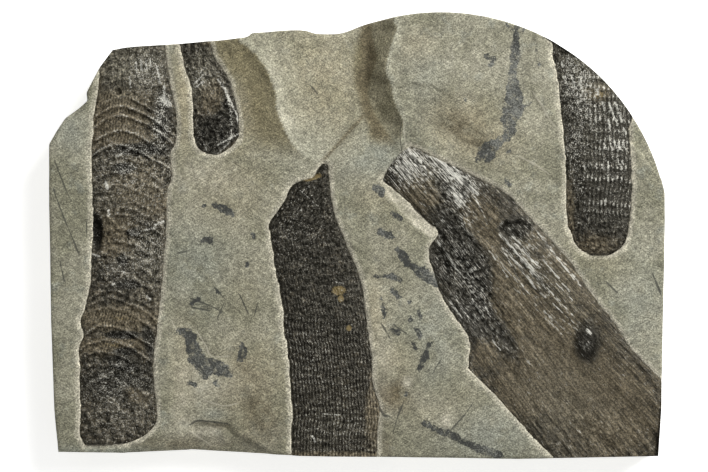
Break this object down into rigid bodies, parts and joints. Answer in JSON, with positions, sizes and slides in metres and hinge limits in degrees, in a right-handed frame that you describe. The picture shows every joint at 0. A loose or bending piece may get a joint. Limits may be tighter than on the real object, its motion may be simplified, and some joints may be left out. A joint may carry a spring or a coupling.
{
  "type": "carboniferous plant fossil plate",
  "caption": "Flat plate of grey shale with coalified plant stems lying in its face, a scooped hollow at its top edge and a flat back to rest on.",
  "frame": {"origin": "middle of the flat back of the plate, on the surface that it rests on", "axes": "+X across the plate along its sawn bottom edge, +Y up the plate to its broken top edge, +Z out of the face that holds the fossils"},
  "size_m": [0.3048, 0.2212, 0.0298],
  "materials": {
    "shale": "matt fine-grained grey-olive shale, paler where it was cut round the stems",
    "coal": "black to dark brown coalified plant tissue with small bright glints"
  },
  "bodies": {
    "root": {"shale_slab": "shale", "stem_left": "coal", "stem_small": "coal", "stem_middle": "coal", "stem_diagonal": "coal", "stem_right": "coal"}
  },
  "joints": []
}
